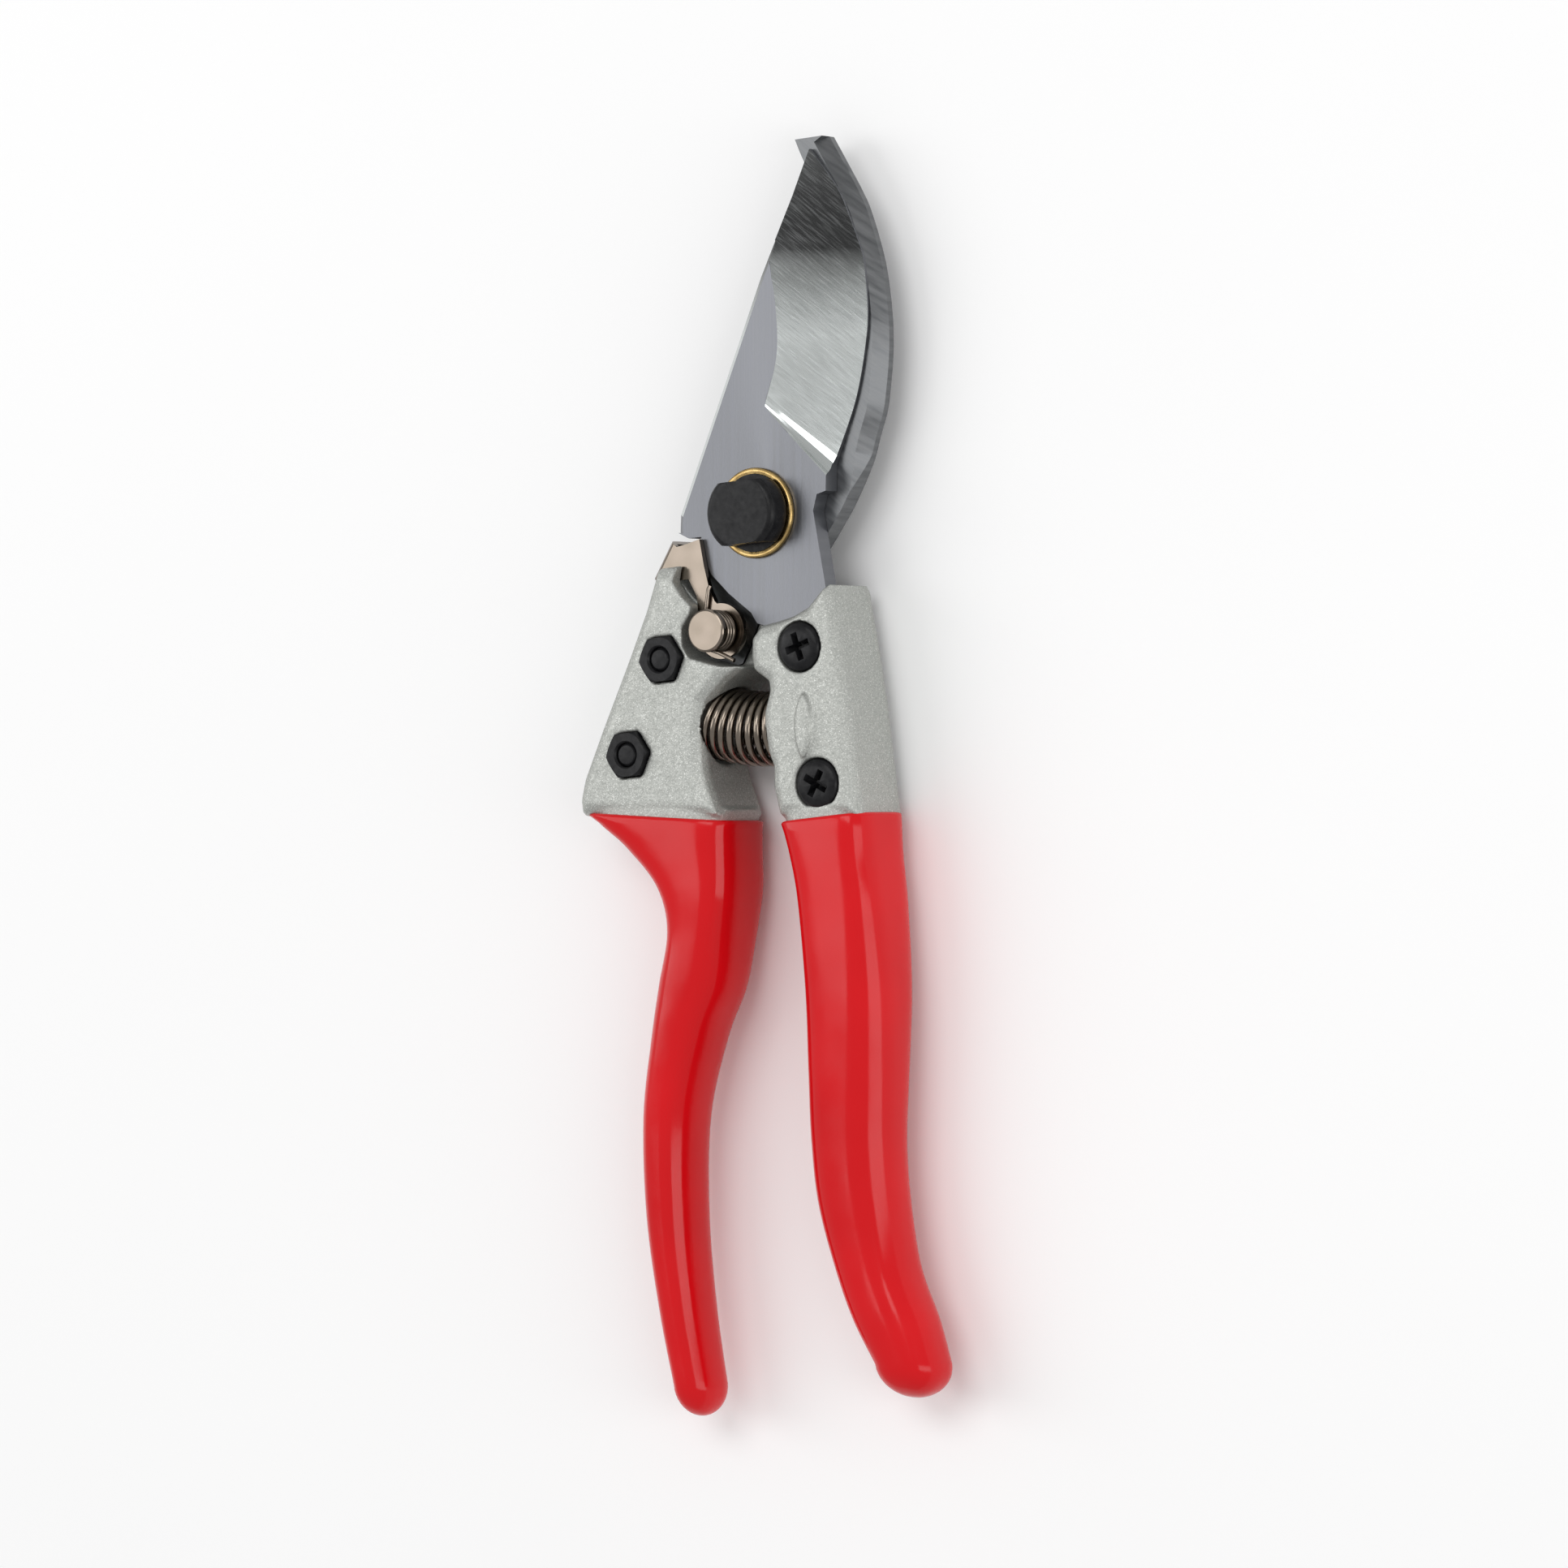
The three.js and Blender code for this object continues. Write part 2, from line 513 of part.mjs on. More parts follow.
// ---- Main spring ------------------------------------------------------------------------------------
// The coils close up at both ends, so the wire moves along the arc more slowly there.
function mainSpring() {
  const steps = SPRING_TURNS * 12;
  const room = SPRING_WIRE_R / SPRING_ARC;
  const points = Array.from({ length: steps + 1 }, (_, i) => {
    const t = i / steps;
    const eased = t - 0.045 * Math.sin(2 * Math.PI * t) / Math.PI;
    const along = THREE.MathUtils.lerp(SPRING_FROM + room, SPRING_TO - room, eased);
    const turn = 2 * Math.PI * SPRING_TURNS * t;
    const point = arcPoint(along, SPRING_ARC + SPRING_R * Math.cos(turn));
    point.z = SPRING_R * Math.sin(turn);
    return point;
  });
  return wire(points, SPRING_WIRE_R, 5);
}

// ---- The assembly -----------------------------------------------------------------------------------
const pruner = new THREE.Group();

function addPart(name, solid, finish) {
  const mesh = new THREE.Mesh(toGeometry(solid), new THREE.MeshStandardMaterial(FINISH[finish]));
  mesh.name = name;
  pruner.add(mesh);
}

addPart('hook_blade', hookBlade(), 'bladeSteel');
addPart('cutting_blade', cuttingBlade(), 'bladeSteel');
addPart('left_handle', leftHandle(), 'castAluminium');
addPart('right_handle', rightHandle(), 'castAluminium');
addPart('left_grip', grip(LEFT_GRIP, LEFT_END), 'redVinyl');
addPart('right_grip', grip(RIGHT_GRIP, RIGHT_END), 'redVinyl');
addPart('pivot_bolt', pivotBolt(), 'blackSteel');
addPart('pivot_ring', pivotRing(), 'brass');
addPart('pivot_washer', washer([0, 0], SHANK_R + 0.1, 8, -HOOK - GAP - BACK_WASHER, -HOOK - GAP),
  'blackSteel');
addPart('pivot_nut', pivotNut(), 'blackSteel');
LEFT_SCREWS.forEach((centre, i) => {
  addPart(`left_screw_${i + 1}`, screw(centre, -1, 0.5 + i), 'blackSteel');
  addPart(`left_nut_${i + 1}`, nut(centre, -1), 'blackSteel');
});
RIGHT_SCREWS.forEach((centre, i) => {
  addPart(`right_screw_${i + 1}`, screw(centre, 1, CROSS_TURNS[i]), 'blackSteel');
  addPart(`right_nut_${i + 1}`, nut(centre, 1), 'blackSteel');
});
addPart('thumb_catch', thumbCatch(), 'nickel');
addPart('catch_pin', catchPin(), 'nickel');
addPart('catch_spring', catchSpring(), 'nickel');
addPart('main_spring', mainSpring(), 'nickel');

export default pruner;
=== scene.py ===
import math

import bmesh
import bpy
from mathutils import Matrix, Vector


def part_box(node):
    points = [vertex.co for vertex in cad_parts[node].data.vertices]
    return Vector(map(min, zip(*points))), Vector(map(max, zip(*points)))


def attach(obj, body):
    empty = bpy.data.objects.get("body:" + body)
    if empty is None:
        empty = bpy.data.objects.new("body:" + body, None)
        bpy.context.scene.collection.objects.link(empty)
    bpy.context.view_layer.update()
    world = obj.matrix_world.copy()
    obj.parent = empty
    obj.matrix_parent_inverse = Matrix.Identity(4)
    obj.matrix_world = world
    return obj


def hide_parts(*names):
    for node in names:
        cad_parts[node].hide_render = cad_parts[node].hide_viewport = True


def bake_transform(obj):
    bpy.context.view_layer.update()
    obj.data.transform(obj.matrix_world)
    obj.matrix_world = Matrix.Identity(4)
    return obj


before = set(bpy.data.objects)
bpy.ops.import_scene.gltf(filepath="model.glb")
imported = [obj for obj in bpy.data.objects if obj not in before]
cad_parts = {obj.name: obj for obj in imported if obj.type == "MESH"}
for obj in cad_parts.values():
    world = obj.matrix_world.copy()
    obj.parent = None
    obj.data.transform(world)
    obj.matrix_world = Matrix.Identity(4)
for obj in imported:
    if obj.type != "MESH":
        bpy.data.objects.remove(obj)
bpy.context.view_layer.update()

MM = 0.001
HOOK_SIDE, BLADE_SIDE, CATCH = "hook_side", "blade_side", "catch"

# ---- Places taken from the frame, in millimetres -------------------------------------------------


def span(node):
    low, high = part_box(node)
    return low / MM, high / MM


def middle(node):
    low, high = span(node)
    return (low + high) / 2


CONTACT = span("hook_blade")[1].z
BLADE = span("cutting_blade")[1].z - CONTACT
HOOK = CONTACT - span("hook_blade")[0].z
LIP_Y = span("left_grip")[1].y
CATCH_PIN = middle("catch_pin").to_2d()
CATCH_PIN_R = 2.45
BORE_R = 4.05                         # pivot bore in the blades and the nut

# ---- Mesh helpers: shapes are given in millimetres, heights from the blades' contact plane -------


def make(name, points, faces):
    mesh = bpy.data.meshes.new(name)
    mesh.from_pydata([tuple(Vector(p) * MM) for p in points], [], faces)
    work = bmesh.new()
    work.from_mesh(mesh)
    bmesh.ops.remove_doubles(work, verts=work.verts, dist=1e-8)
    bmesh.ops.recalc_face_normals(work, faces=work.faces)
    work.to_mesh(mesh)
    work.free()
    obj = bpy.data.objects.new(name, mesh)
    bpy.context.scene.collection.objects.link(obj)
    return obj


def spline(points, steps=6, closed=False):
    """Catmull-Rom curve through the points."""
    points = [Vector(p) for p in points]
    count = len(points)
    result = []
    last = count if closed else count - 1
    for i in range(last):
        if closed:
            a, b, c, d = (points[(i + k) % count] for k in (-1, 0, 1, 2))
        else:
            a, b = points[max(i - 1, 0)], points[i]
            c, d = points[i + 1], points[min(i + 2, count - 1)]
        for k in range(steps):
            t = k / steps
            result.append(((2 * b) + (c - a) * t + (2 * a - 5 * b + 4 * c - d) * t * t
                           + (3 * b - a - 3 * c + d) * t ** 3) / 2)
    if not closed:
        result.append(points[-1])
    return result


def loft(name, rings, caps=True):
    count = len(rings[0])
    points = [(p[0], p[1], p[2] + CONTACT) for ring in rings for p in ring]
    faces = []
    for i in range(len(rings) - 1):
        for j in range(count):
            a, b = i * count + j, i * count + (j + 1) % count
            faces.append((a, b, b + count, a + count))
    if caps:
        faces.append(tuple(range(count)))
        faces.append(tuple(range((len(rings) - 1) * count, len(rings) * count)))
    return make(name, points, faces)


def plate(name, outline, low, high):
    return loft(name, [[(p[0], p[1], z) for p in outline] for z in (low, high)])


def turned(name, centre, profile, sides=96):
    """A turned piece; its profile runs from the axis to the axis, or closes on itself."""
    rings = []
    for r, z in profile:
        r = max(r, 1e-4)
        rings.append([(centre[0] + r * math.cos(2 * math.pi * j / sides),
                       centre[1] + r * math.sin(2 * math.pi * j / sides), z) for j in range(sides)])
    return loft(name, rings, caps=profile[0] != profile[-1])


def rod(name, centre, radius, low, high, sides=96):
    return turned(name, centre, [(radius, low), (radius, high)], sides)


def wire(name, points, radius, sides=14):
    """Round wire along a list of points, carried along without twisting."""
    points = [Vector(p) for p in points]
    along = (points[1] - points[0]).normalized()
    side = along.orthogonal().normalized()
    rings = []
    for i, point in enumerate(points):
        ahead = (points[min(i + 1, len(points) - 1)] - points[max(i - 1, 0)]).normalized()
        side = (side - ahead * side.dot(ahead)).normalized()
        up = ahead.cross(side)
        rings.append([point + (side * math.cos(2 * math.pi * j / sides)
                               + up * math.sin(2 * math.pi * j / sides)) * radius
                      for j in range(sides)])
    return loft(name, rings)


def bake(obj):
    graph = bpy.context.evaluated_depsgraph_get()
    mesh = bpy.data.meshes.new_from_object(obj.evaluated_get(graph))
    obj.modifiers.clear()
    obj.data = mesh
    return obj


def combine(obj, others, operation="DIFFERENCE"):
    for other in others:
        change = obj.modifiers.new("combine", "BOOLEAN")
        change.object = other
        change.operation = operation
        change.solver = "EXACT"
        bake(obj)
        bpy.data.objects.remove(other)
    return obj


def soften(obj, width, angle=30, segments=2, crease=None):
    """Rounds edges sharper than the angle; shading breaks at the crease angle, or at the same angle."""
    edge = obj.modifiers.new("edge", "BEVEL")
    edge.width = width * MM
    edge.segments = segments
    edge.limit_method = "ANGLE"
    edge.angle_limit = math.radians(angle)
    smooth(bake(obj), crease or angle)
    weighted = obj.modifiers.new("weighted", "WEIGHTED_NORMAL")
    weighted.weight = 100
    weighted.keep_sharp = True
    return bake(obj)


def smooth(obj, angle=40):
    obj.data.polygons.foreach_set("use_smooth", [True] * len(obj.data.polygons))
    obj.data.set_sharp_from_angle(angle=math.radians(angle))
    return obj


def place(obj, body, slot, nodes, *materials):
    obj.data.materials.clear()
    for material in materials:
        obj.data.materials.append(material)
    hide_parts(*nodes)
    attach(obj, body)
    return obj


def hexagon(centre, flats, turn):
    corner = flats / math.sqrt(3)
    angles = [turn + i * math.pi / 3 for i in range(6)]
    return [(centre[0] + corner * math.cos(a), centre[1] + corner * math.sin(a)) for a in angles]


# ---- Materials -----------------------------------------------------------------------------------


class Finish:
    """A Principled material with a few short ways to add detail, in object space."""

    def __init__(self, name, colour, roughness, metallic=0.0, **sockets):
        self.material = bpy.data.materials.new(name)
        self.material.use_nodes = True
        self.tree = self.material.node_tree
        self.shader = self.tree.nodes["Principled BSDF"]
        self.shader.inputs["Base Color"].default_value = (*colour, 1)
        self.shader.inputs["Roughness"].default_value = roughness
        self.shader.inputs["Metallic"].default_value = metallic
        for socket, value in sockets.items():
            self.shader.inputs[socket.replace("_", " ")].default_value = value
        self.height = None

    def node(self, kind, **values):
        node = self.tree.nodes.new("ShaderNode" + kind)
        for key, value in values.items():
            setattr(node, key, value)
        return node

    def link(self, start, end):
        self.tree.links.new(start, end)

    def place(self, stretch=(1, 1, 1), turn=0.0):
        where = self.node("TexCoord")
        mapping = self.node("Mapping", vector_type="TEXTURE")
        mapping.inputs["Rotation"].default_value = (0, 0, turn)
        mapping.inputs["Scale"].default_value = [1 / value for value in stretch]
        self.link(where.outputs["Object"], mapping.inputs["Vector"])
        return mapping.outputs["Vector"]

    def noise(self, scale, detail=3.0, stretch=(1, 1, 1), turn=0.0, low=0.3, high=0.7):
        noise = self.node("TexNoise")
        noise.inputs["Scale"].default_value = scale
        noise.inputs["Detail"].default_value = detail
        self.link(self.place(stretch, turn), noise.inputs["Vector"])
        return self.range(noise.outputs["Fac"], low, high)

    def cells(self, scale, low, high):
        cells = self.node("TexVoronoi")
        cells.inputs["Scale"].default_value = scale
        self.link(self.place(), cells.inputs["Vector"])
        grey = self.node("SeparateColor")
        self.link(cells.outputs["Color"], grey.inputs[0])
        return self.range(grey.outputs[0], low, high)

    def range(self, value, low, high, to_low=0.0, to_high=1.0):
        fit = self.node("MapRange")
        fit.inputs["From Min"].default_value = low
        fit.inputs["From Max"].default_value = high
        fit.inputs["To Min"].default_value = to_low
        fit.inputs["To Max"].default_value = to_high
        self.link(value, fit.inputs["Value"])
        return fit.outputs["Result"]

    def along(self, axis, start, end):
        """0 to 1 between two places on an axis, in millimetres."""
        parts = self.node("SeparateXYZ")
        self.link(self.place(), parts.inputs[0])
        return self.range(parts.outputs[axis], start * MM, end * MM)

    def colour(self, factor, first, second):
        """Mixes a second colour over what the base colour already is."""
        mix = self.node("Mix", data_type="RGBA")
        socket = self.shader.inputs["Base Color"]
        if socket.is_linked:
            self.link(socket.links[0].from_socket, mix.inputs["A"])
        else:
            mix.inputs["A"].default_value = (*first, 1)
        mix.inputs["B"].default_value = (*second, 1)
        self.link(factor, mix.inputs["Factor"])
        self.link(mix.outputs["Result"], socket)

    def rough(self, factor, low, high):
        fit = self.range(factor, 0, 1, low, high)
        self.link(fit, self.shader.inputs["Roughness"])

    def bump(self, factor, depth, strength=1.0):
        """Adds relief; depth is in millimetres."""
        bump = self.node("Bump")
        bump.inputs["Distance"].default_value = depth * MM
        bump.inputs["Strength"].default_value = strength
        self.link(factor, bump.inputs["Height"])
        if self.height:
            self.link(self.height, bump.inputs["Normal"])
        self.height = bump.outputs["Normal"]
        self.link(self.height, self.shader.inputs["Normal"])


def cast_aluminium():
    finish = Finish("cast_aluminium", (0.42, 0.43, 0.41), 0.5, 0.7)
    finish.colour(finish.noise(4200, 4), (0.34, 0.35, 0.33), (0.50, 0.51, 0.48))
    finish.colour(finish.cells(8000, 0.88, 0.97), (0, 0, 0), (0.68, 0.69, 0.66))
    finish.rough(finish.noise(1500, 3), 0.42, 0.6)
    finish.bump(finish.noise(2600, 4), 0.05, 0.6)
    finish.bump(finish.noise(260, 2), 0.06, 0.35)
    return finish.material


def blade_flat():
    finish = Finish("blade_flat", (0.19, 0.195, 0.21), 0.36, 0.9, Anisotropic=0.4)
    lines = finish.noise(1, 4, (2600, 24, 24))
    finish.colour(lines, (0.16, 0.165, 0.18), (0.21, 0.215, 0.23))
    finish.rough(lines, 0.32, 0.44)
    finish.bump(lines, 0.008, 0.4)
    return finish.material


def blade_bevel():
    finish = Finish("blade_bevel", (0.4, 0.42, 0.42), 0.2, 1.0, Anisotropic=0.3)
    streaks = finish.noise(1, 3, (260, 4200, 260), math.radians(-38))
    # Painted reflection: the bevel's colour goes from light below y 28 mm to near black above y 42 mm,
    # standing in for the dark surroundings its upper part mirrors.
    finish.colour(finish.along(1, 28, 42), (0.58, 0.61, 0.6), (0.035, 0.036, 0.036))
    finish.colour(finish.range(streaks, 0.4, 1.0, 0.0, 0.09), (0, 0, 0), (0.6, 0.62, 0.62))
    finish.rough(streaks, 0.18, 0.28)
    finish.bump(streaks, 0.004, 0.4)
    return finish.material


def hook_steel():
    finish = Finish("hook_steel", (0.3, 0.31, 0.32), 0.36, 1.0, Anisotropic=0.2)
    scratches = finish.noise(1, 4, (160, 1500, 160), math.radians(-40))
    finish.colour(scratches, (0.13, 0.135, 0.14), (0.21, 0.215, 0.22))
    finish.rough(scratches, 0.32, 0.46)
    finish.bump(scratches, 0.006, 0.5)
    return finish.material


def red_vinyl():
    finish = Finish("red_vinyl", (0.63, 0.005, 0.006), 0.14, 0.0, Specular_IOR_Level=0.26)
    finish.colour(finish.noise(45, 2), (0.58, 0.003, 0.006), (0.66, 0.005, 0.009))
    finish.rough(finish.noise(220, 3), 0.11, 0.19)
    finish.bump(finish.noise(70, 2), 0.1, 0.3)
    finish.bump(finish.noise(900, 2), 0.006, 0.3)
    return finish.material


def black_steel():
    finish = Finish("black_steel", (0.005, 0.005, 0.006), 0.3, 0.0, Specular_IOR_Level=0.18)
    finish.colour(finish.noise(700, 4), (0.004, 0.004, 0.005), (0.014, 0.014, 0.015))
    finish.rough(finish.noise(1200, 4), 0.24, 0.42)
    finish.bump(finish.noise(1600, 3), 0.015, 0.4)
    return finish.material


def brass():
    finish = Finish("brass", (0.5, 0.34, 0.13), 0.3, 1.0)
    finish.colour(finish.noise(500, 4), (0.36, 0.24, 0.09), (0.66, 0.47, 0.2))
    finish.rough(finish.noise(900, 3), 0.2, 0.4)
    finish.bump(finish.noise(1500, 3), 0.015, 0.5)
    return finish.material


def nickel():
    finish = Finish("nickel_plate", (0.22, 0.185, 0.15), 0.2, 1.0)
    finish.colour(finish.noise(400, 4), (0.19, 0.16, 0.13), (0.25, 0.21, 0.175))
    finish.rough(finish.noise(800, 3), 0.16, 0.26)
    return finish.material


CAST = cast_aluminium()
FLAT = blade_flat()
BEVEL = blade_bevel()
HOOKED = hook_steel()
RED = red_vinyl()
BLACK = black_steel()
BRASS = brass()
NICKEL = nickel()

def edge_cutter(path, width, depth, start=lambda point: 0.0):
    """Takes the front edge off along a path that has the outside on its right."""
    rings = []
    reach = 1.5
    rise = depth / width * reach
    for i, p in enumerate(path):
        run = (path[min(i + 1, len(path) - 1)] - path[max(i - 1, 0)]).normalized()
        out = Vector((run.y, -run.x))
        shift = start(p)
        rings.append([(*(p + out * (shift + offset)), z)
                      for offset, z in ((-width - reach, rise), (reach, -depth - rise), (reach, rise))])
    return loft("edge_cutter", rings)


# ---- Cutting blade -------------------------------------------------------------------------------
CUTTING_EDGE = [(13.3, 7.5), (14.5, 10.7), (17.3, 18.3), (18.9, 26), (19.4, 31.7), (18.7, 39.3),
                (17.8, 42.4), (15.9, 46.9), (13.6, 51.5), (8.5, 58)]
BLADE_REST = [(5.9, 50.5), (3.1, 43.5), (0.3, 37.6), (-15.2, 0), (-15.3, -2.9), (-13.3, -3.8),
              (-10.8, -3.6), (-10.4, -5.6), (-9.7, -7.9), (-8.8, -9.7), (-5.4, -12.8), (-3.2, -14.4),
              (-1.1, -15.9), (0.05, -17.6), (2.9, -18.4),
              (5.5, -24), (9, -30), (9.5, -47), (18.8, -47), (17.2, -34), (14, -16), (12.1, -6.4),
              (10.8, 0.2), (11.5, 2.8), (13.2, 3.3)]
EDGE_LAND = 0.5                       # thickness left along the cutting edge
SPINE_WIDTH, SPINE_DEPTH = 0.9, 0.7   # chamfer along the blade's back
SPINE_POINTS = slice(1, 5)            # where the chamfer runs in BLADE_REST
# From the spine or the ground line to the cutting edge: (x, y, height above the contact plane).
GROUND = [
    ((8, 60, 1), (9.6, 60, EDGE_LAND)),
    ((4.9, 51, 2.1), (14.4, 51, EDGE_LAND)),
    ((2.2, 44, 2.9), (17.6, 44, EDGE_LAND)),
    ((2.8, 37.6, BLADE), (19.3, 37.8, EDGE_LAND)),
    ((3.9, 29, BLADE), (19.6, 29.5, EDGE_LAND)),
    ((3.5, 23.5, BLADE), (18.4, 22, EDGE_LAND)),
    ((1.7, 18, BLADE - 0.05), (15.2, 8, EDGE_LAND + 0.3)),
    ((1.8, 16.4, BLADE + 0.1), (14.7, 4.3, BLADE + 0.1)),
]
HOLLOW = 0.1                          # how deep the hollow grinding dips below a flat bevel


def bevel_cutter():
    inner = spline([row[0] for row in GROUND], 5)
    outer = spline([row[1] for row in GROUND], 5)
    steps, reach, above = 12, 0.3, BLADE + 2
    rings = []
    for a, b in zip(inner, outer):
        fall = a.z - b.z
        ring = []
        for k in range(steps + 1):
            t = k / steps * (1 + reach)
            point = a.lerp(b, t)
            point.z -= HOLLOW * math.sin(math.pi * min(t, 1)) * fall / BLADE
            ring.append(point)
        ring.append(Vector((*ring[-1].to_2d(), above)))
        ring.append(Vector((*a.to_2d(), above)))
        rings.append(ring)
    return loft("bevel_cutter", rings)


def cutting_blade():
    outline = spline(CUTTING_EDGE, 8) + [Vector(p) for p in BLADE_REST]
    blade = plate("blade", outline, 0.05, BLADE)
    spine = edge_cutter([Vector(p) for p in BLADE_REST[SPINE_POINTS]], SPINE_WIDTH, SPINE_DEPTH)
    spine.data.transform(Matrix.Translation((0, 0, BLADE * MM)))
    combine(blade, [bevel_cutter(), spine, rod("bore", (0, 0), BORE_R, -1, BLADE + 1)])
    soften(blade, 0.1, 35, crease=6)
    blade.data.materials.append(FLAT)
    blade.data.materials.append(BEVEL)
    flat_z = (CONTACT + BLADE - 0.02) * MM
    for face in blade.data.polygons:
        steep = face.normal.z < 0.9995 and face.normal.z > 0.25
        face.material_index = 1 if steep and face.center.z < flat_z and face.center.y > 3 * MM else 0
    indices = [face.material_index for face in blade.data.polygons]
    place(blade, BLADE_SIDE, "blade_steel", ["cutting_blade"], FLAT, BEVEL)
    blade.data.polygons.foreach_set("material_index", indices)


# ---- Counter blade -------------------------------------------------------------------------------
HOOK_OUTER = [(14, 0.4), (16.2, 4.3), (18.1, 8.2), (19.3, 12.1), (20.6, 16), (21.2, 19.9), (21.7, 25.7),
              (21.5, 31.6), (20.3, 39.4), (17.8, 47.2), (15.9, 51.1), (12.7, 56.3), (10.3, 60.1)]
HOOK_INNER = [(5.1, 59.7), (6.9, 56), (11, 49), (14, 42), (15.6, 35), (15.6, 27), (13.4, 19), (9.5, 13),
              (4, 11), (-4, 11), (-12, 4), (-12.5, -3), (-13.5, -9.5)]
HOOK_TANG = [(-16.5, -14), (-20, -24), (-26.5, -40), (-25.5, -44), (-17.5, -44), (-15.5, -38),
             (-13, -30), (-11, -25.5), (-5, -24), (-3.2, -20.5), (-2, -17.5), (3, -12.5), (8, -8),
             (11.3, -3.5)]
BAND_WIDTH, BAND_DEPTH = 1.8, 2.2


def band_start(point):
    """The ground band leaves the hook's edge below its lower end."""
    return BAND_WIDTH * max(0, 1 - max(point.y - 3, 0) / 6)


def hook_blade():
    outline = spline(HOOK_OUTER, 6) + spline(HOOK_INNER, 6)
    outline += [Vector(p) for p in HOOK_TANG]
    blade = plate("hook", outline, -HOOK, 0)
    band = edge_cutter(spline(HOOK_OUTER, 6), BAND_WIDTH, BAND_DEPTH, band_start)
    combine(blade, [band, rod("bore", (0, 0), BORE_R, -HOOK - 1, 1)])
    soften(blade, 0.1, 35)
    place(blade, HOOK_SIDE, "blade_steel", ["hook_blade"], HOOKED)


# ---- Handle castings -----------------------------------------------------------------------------
VOXEL = 0.3


def casting(name, node, additions=()):
    """The cast handle: its machined solid with every edge rounded the way sand casting leaves it."""
    obj = bpy.data.objects.new(name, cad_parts[node].data.copy())
    bpy.context.scene.collection.objects.link(obj)
    combine(obj, additions, "UNION")
    remesh = obj.modifiers.new("remesh", "REMESH")
    remesh.mode = "VOXEL"
    remesh.voxel_size = VOXEL * MM
    relax = obj.modifiers.new("relax", "SMOOTH")
    relax.factor = 0.5
    relax.iterations = 6
    bake(obj)
    return smooth(obj, 60)


def pad(name, outline, low, high, inset):
    """A low raised shape with sloping sides."""
    points = spline(outline, 6, closed=True)
    centre = sum(points, Vector((0, 0))) / len(points)
    rings = []
    for z, shrink in ((low, 0), (high - 0.2, inset * 0.55), (high, inset)):
        rings.append([(*(p + (centre - p).normalized() * shrink), z) for p in points])
    return loft(name, rings)


def neck(rows, slope):
    """Carries a casting's full section down into its grip."""
    inset, top, bottom = 0.7, LIP_Y + 2, LIP_Y - 2
    return loft("neck", [grip_ring(row_at(rows, y), inset, y, slope) for y in (bottom, LIP_Y, top)])


def castings():
    front = span("right_handle")[1].z - CONTACT
    strip = pad("strip", [(11.9, -28.6), (13.3, -31), (13.8, -34), (13.3, -37), (11.9, -39.6),
                          (10.5, -37), (10, -34), (10.5, -31)], front - 1, front + 1.0, 0.8)
    right = casting("right_casting", "right_handle", [strip, neck(RIGHT_GRIP, RIGHT_SLOPE)])
    place(right, BLADE_SIDE, "cast_aluminium", ["right_handle"], CAST)
    left = casting("left_casting", "left_handle", [neck(LEFT_GRIP, LEFT_SLOPE)])
    place(left, HOOK_SIDE, "cast_aluminium", ["left_handle"], CAST)


# ---- Grips ---------------------------------------------------------------------------------------
# Each row of a grip: (y, left x, right x, half thickness, squareness).
LEFT_GRIP = [(-46, -35, -3.6, 7.9, 4.5), (-50, -30, -4.2, 7.9, 4.5), (-54, -24.2, -4.1, 7.8, 4),
             (-60, -18.6, -4, 7.6, 3.6), (-67, -17, -4.8, 7.3, 3), (-76, -19.2, -6.3, 7, 2.6),
             (-84, -20.7, -9.7, 6.7, 2.4), (-97, -22.5, -13, 6.2, 2.3), (-113, -22, -13.2, 5.8, 2.3),
             (-128, -19.6, -11.6, 5.4, 2.3), (-140, -16.9, -9.4, 5, 2.3)]
LEFT_END = (-12.7, -145.1)
RIGHT_GRIP = [(-46, 5.1, 22.1, 7.9, 4.5), (-54, 7.2, 22.7, 7.8, 4), (-62, 8.6, 23.9, 7.6, 3.6),
              (-76, 9.5, 25.2, 7.3, 3), (-89, 9.7, 25.1, 6.9, 2.7), (-100, 10, 24.9, 6.6, 2.5),
              (-110, 11.3, 25.8, 6.4, 2.5), (-120, 14.4, 27.8, 6.1, 2.5), (-128, 17.7, 31.3, 6, 2.5),
              (-135, 21.9, 33.6, 5.6, 2.5)]
RIGHT_END = (28.6, -140.3)
GRIP_SIDES = 64
LEFT_SLOPE, RIGHT_SLOPE = -0.6, 0.8    # how far each lip rises towards +X


def grip_ring(row, inset=0.0, y=None, slope=0.0):
    height, left, right, thick, square = row
    centre, half = (left + right) / 2, (right - left) / 2 - inset
    ring = []
    for j in range(GRIP_SIDES):
        angle = 2 * math.pi * (j + 0.5) / GRIP_SIDES
        c, s = math.cos(angle), math.sin(angle)
        x = math.copysign(abs(c) ** (2 / square), c) * half
        z = math.copysign(abs(s) ** (2 / square), s) * (thick - inset)
        ring.append((centre + x, (height if y is None else y) + slope * x / half, z))
    return ring


def row_at(rows, y):
    """The grip's section at a height between two rows."""
    nearest = min(spline(rows, 12), key=lambda row: abs(row[0] - y))
    return (y, *nearest[1:])


